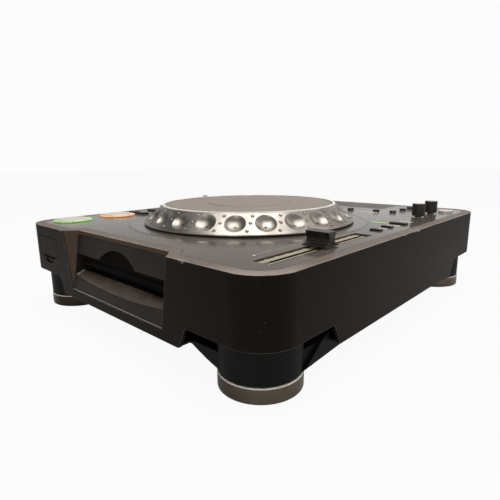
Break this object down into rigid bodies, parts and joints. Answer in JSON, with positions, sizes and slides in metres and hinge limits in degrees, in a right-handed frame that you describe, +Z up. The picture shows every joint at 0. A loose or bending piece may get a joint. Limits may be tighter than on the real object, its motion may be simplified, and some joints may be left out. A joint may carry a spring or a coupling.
{
  "type": "slot-loading disc player",
  "caption": "Slot-loading tabletop disc player with a touch-top jog wheel, transport and cue keys, tempo fader, knobs and display, standing on round feet.",
  "frame": {"origin": "on the surface it stands on, under the middle of the case", "axes": "+Z up, +Y towards the rear connectors, so the disc slot faces -Y, and +X towards the tempo fader's side"},
  "size_m": [0.32, 0.37, 0.101],
  "materials": {
    "case_paint": "fine satin charcoal paint",
    "plate_satin": "satin metallic lacquer, warm grey",
    "lower_plastic": "matt near-black moulding",
    "black_plastic": "matt black",
    "lip_plastic": "satin brown-grey",
    "felt": "black felt",
    "foot_metal": "dark satin nickel",
    "pad_rubber": "matt",
    "polished": "bright silver plating",
    "jog_satin": "satin",
    "surround_gloss": "glossy silver-grey",
    "smoked_window": "smoked, polished",
    "green_ring": "translucent green",
    "orange_ring": "translucent orange",
    "silver_key": "silver",
    "board_green": "solder mask",
    "supply_metal": "board, transformer and heat sink",
    "sheet_steel": "zinc plated",
    "bright_steel": "ground"
  },
  "bodies": {
    "case": {"upper_case": "case_paint", "control_plate": "plate_satin", "display_window": "smoked_window", "lower_case": "lower_plastic", "foot_ring_left_front": "foot_metal", "foot_ring_left_rear": "foot_metal", "foot_ring_right_front": "foot_metal", "foot_ring_right_rear": "foot_metal", "foot_pad_left_front": "pad_rubber", "foot_pad_left_rear": "pad_rubber", "foot_pad_right_front": "pad_rubber", "foot_pad_right_rear": "pad_rubber", "slot_bezel": "case_paint", "slot_lip": "lip_plastic", "slot_seal": "felt", "jog_surround": "surround_gloss", "jog_post": "sheet_steel", "jog_bearing": "bright_steel", "jog_display": "smoked_window", "play_ring": "green_ring", "cue_ring": "orange_ring", "fader_unit": "black_plastic", "control_board": "board_green", "card_reader": "black_plastic", "drive_frame": "sheet_steel", "power_supply": "supply_metal", "jack_block": "black_plastic", "ac_inlet": "black_plastic"},
    "jog_ring": {"jog_ring": "polished"},
    "jog_plate": {"jog_plate": "jog_satin"},
    "play_button": {"play_button": "silver_key"},
    "cue_button": {"cue_button": "silver_key"},
    "search_reverse": {"search_reverse": "black_plastic"},
    "search_forward": {"search_forward": "black_plastic"},
    "track_reverse": {"track_reverse": "black_plastic"},
    "track_forward": {"track_forward": "black_plastic"},
    "hot_cue_a": {"hot_cue_a": "silver_key"},
    "hot_cue_b": {"hot_cue_b": "silver_key"},
    "hot_cue_c": {"hot_cue_c": "silver_key"},
    "loop_in": {"loop_in": "silver_key"},
    "loop_out": {"loop_out": "silver_key"},
    "reloop": {"reloop": "silver_key"},
    "time_mode_button": {"time_mode_button": "black_plastic"},
    "call_back_button": {"call_back_button": "black_plastic"},
    "call_forward_button": {"call_forward_button": "black_plastic"},
    "memory_button": {"memory_button": "black_plastic"},
    "delete_button": {"delete_button": "black_plastic"},
    "eject_button": {"eject_button": "silver_key"},
    "jog_mode_button": {"jog_mode_button": "black_plastic"},
    "master_tempo_button": {"master_tempo_button": "black_plastic"},
    "tempo_range_button": {"tempo_range_button": "black_plastic"},
    "touch_brake_knob": {"touch_brake_knob": "black_plastic"},
    "release_start_knob": {"release_start_knob": "black_plastic"},
    "direction_lever": {"direction_lever": "black_plastic"},
    "fader_cap": {"fader_cap": "black_plastic"},
    "card_door": {"card_door": "case_paint"},
    "feed_roller": {"feed_roller": "pad_rubber"},
    "turntable": {"turntable": "black_plastic"},
    "laser_sled": {"laser_sled": "sheet_steel"},
    "power_switch": {"power_switch": "black_plastic"}
  },
  "joints": [
    {"name": "jog_turn", "type": "hinge", "parent": "case", "child": "jog_ring", "pos_m": [0.006, -0.032, 0.085], "axis": [0, 0, 1], "continuous": true},
    {"name": "jog_press", "type": "slide", "parent": "jog_ring", "child": "jog_plate", "axis": [0, 0, -1], "range_m": [0, 0.0004], "stiffness_N_per_m": 3000, "springref_m": -0.001},
    {"name": "play_press", "type": "slide", "parent": "case", "child": "play_button", "axis": [0, 0, -1], "range_m": [0, 0.001], "stiffness_N_per_m": 400, "springref_m": -0.001},
    {"name": "cue_press", "type": "slide", "parent": "case", "child": "cue_button", "axis": [0, 0, -1], "range_m": [0, 0.001], "stiffness_N_per_m": 400, "springref_m": -0.001},
    {"name": "search_reverse_press", "type": "slide", "parent": "case", "child": "search_reverse", "axis": [0, 0, -1], "range_m": [0, 0.001], "stiffness_N_per_m": 300, "springref_m": -0.0006},
    {"name": "search_forward_press", "type": "slide", "parent": "case", "child": "search_forward", "axis": [0, 0, -1], "range_m": [0, 0.001], "stiffness_N_per_m": 300, "springref_m": -0.0006},
    {"name": "track_reverse_press", "type": "slide", "parent": "case", "child": "track_reverse", "axis": [0, 0, -1], "range_m": [0, 0.001], "stiffness_N_per_m": 300, "springref_m": -0.0006},
    {"name": "track_forward_press", "type": "slide", "parent": "case", "child": "track_forward", "axis": [0, 0, -1], "range_m": [0, 0.001], "stiffness_N_per_m": 300, "springref_m": -0.0006},
    {"name": "hot_cue_a_press", "type": "slide", "parent": "case", "child": "hot_cue_a", "axis": [0, 0, -1], "range_m": [0, 0.001], "stiffness_N_per_m": 300, "springref_m": -0.0006},
    {"name": "hot_cue_b_press", "type": "slide", "parent": "case", "child": "hot_cue_b", "axis": [0, 0, -1], "range_m": [0, 0.001], "stiffness_N_per_m": 300, "springref_m": -0.0006},
    {"name": "hot_cue_c_press", "type": "slide", "parent": "case", "child": "hot_cue_c", "axis": [0, 0, -1], "range_m": [0, 0.001], "stiffness_N_per_m": 300, "springref_m": -0.0006},
    {"name": "loop_in_press", "type": "slide", "parent": "case", "child": "loop_in", "axis": [0, 0, -1], "range_m": [0, 0.001], "stiffness_N_per_m": 300, "springref_m": -0.0006},
    {"name": "loop_out_press", "type": "slide", "parent": "case", "child": "loop_out", "axis": [0, 0, -1], "range_m": [0, 0.001], "stiffness_N_per_m": 300, "springref_m": -0.0006},
    {"name": "reloop_press", "type": "slide", "parent": "case", "child": "reloop", "axis": [0, 0, -1], "range_m": [0, 0.001], "stiffness_N_per_m": 300, "springref_m": -0.0006},
    {"name": "time_mode_press", "type": "slide", "parent": "case", "child": "time_mode_button", "axis": [0, 0, -1], "range_m": [0, 0.001], "stiffness_N_per_m": 300, "springref_m": -0.0006},
    {"name": "call_back_press", "type": "slide", "parent": "case", "child": "call_back_button", "axis": [0, 0, -1], "range_m": [0, 0.001], "stiffness_N_per_m": 300, "springref_m": -0.0006},
    {"name": "call_forward_press", "type": "slide", "parent": "case", "child": "call_forward_button", "axis": [0, 0, -1], "range_m": [0, 0.001], "stiffness_N_per_m": 300, "springref_m": -0.0006},
    {"name": "memory_press", "type": "slide", "parent": "case", "child": "memory_button", "axis": [0, 0, -1], "range_m": [0, 0.001], "stiffness_N_per_m": 300, "springref_m": -0.0006},
    {"name": "delete_press", "type": "slide", "parent": "case", "child": "delete_button", "axis": [0, 0, -1], "range_m": [0, 0.001], "stiffness_N_per_m": 300, "springref_m": -0.0006},
    {"name": "eject_press", "type": "slide", "parent": "case", "child": "eject_button", "axis": [0, 0, -1], "range_m": [0, 0.001], "stiffness_N_per_m": 300, "springref_m": -0.0006},
    {"name": "jog_mode_press", "type": "slide", "parent": "case", "child": "jog_mode_button", "axis": [0, 0, -1], "range_m": [0, 0.001], "stiffness_N_per_m": 300, "springref_m": -0.0006},
    {"name": "master_tempo_press", "type": "slide", "parent": "case", "child": "master_tempo_button", "axis": [0, 0, -1], "range_m": [0, 0.001], "stiffness_N_per_m": 300, "springref_m": -0.0006},
    {"name": "tempo_range_press", "type": "slide", "parent": "case", "child": "tempo_range_button", "axis": [0, 0, -1], "range_m": [0, 0.001], "stiffness_N_per_m": 300, "springref_m": -0.0006},
    {"name": "touch_brake_turn", "type": "hinge", "parent": "case", "child": "touch_brake_knob", "pos_m": [0.128, 0.094, 0.085], "axis": [0, 0, 1], "range_deg": [-150, 150]},
    {"name": "release_start_turn", "type": "hinge", "parent": "case", "child": "release_start_knob", "pos_m": [0.128, 0.129, 0.085], "axis": [0, 0, 1], "range_deg": [-150, 150]},
    {"name": "direction_tilt", "type": "hinge", "parent": "case", "child": "direction_lever", "pos_m": [-0.132, 0.03, 0.074], "axis": [1, 0, 0], "range_deg": [-12, 12]},
    {"name": "tempo_slide", "type": "slide", "parent": "case", "child": "fader_cap", "axis": [0, 1, 0], "range_m": [-0.05, 0.05]},
    {"name": "card_door_swing", "type": "hinge", "parent": "case", "child": "card_door", "pos_m": [-0.112, -0.1838, 0.0718], "axis": [-1, 0, 0], "range_deg": [0, 90]},
    {"name": "feed_roller_turn", "type": "hinge", "parent": "case", "child": "feed_roller", "pos_m": [0, -0.16168, 0.0425], "axis": [1, 0, 0], "continuous": true},
    {"name": "turntable_turn", "type": "hinge", "parent": "case", "child": "turntable", "pos_m": [0, -0.09518, 0.045], "axis": [0, 0, 1], "continuous": true},
    {"name": "sled_travel", "type": "slide", "parent": "case", "child": "laser_sled", "axis": [0, 1, 0], "range_m": [0, 0.033]},
    {"name": "power_rock", "type": "hinge", "parent": "case", "child": "power_switch", "pos_m": [0.062, 0.1798, 0.053], "axis": [1, 0, 0], "range_deg": [0, 14]}
  ]
}
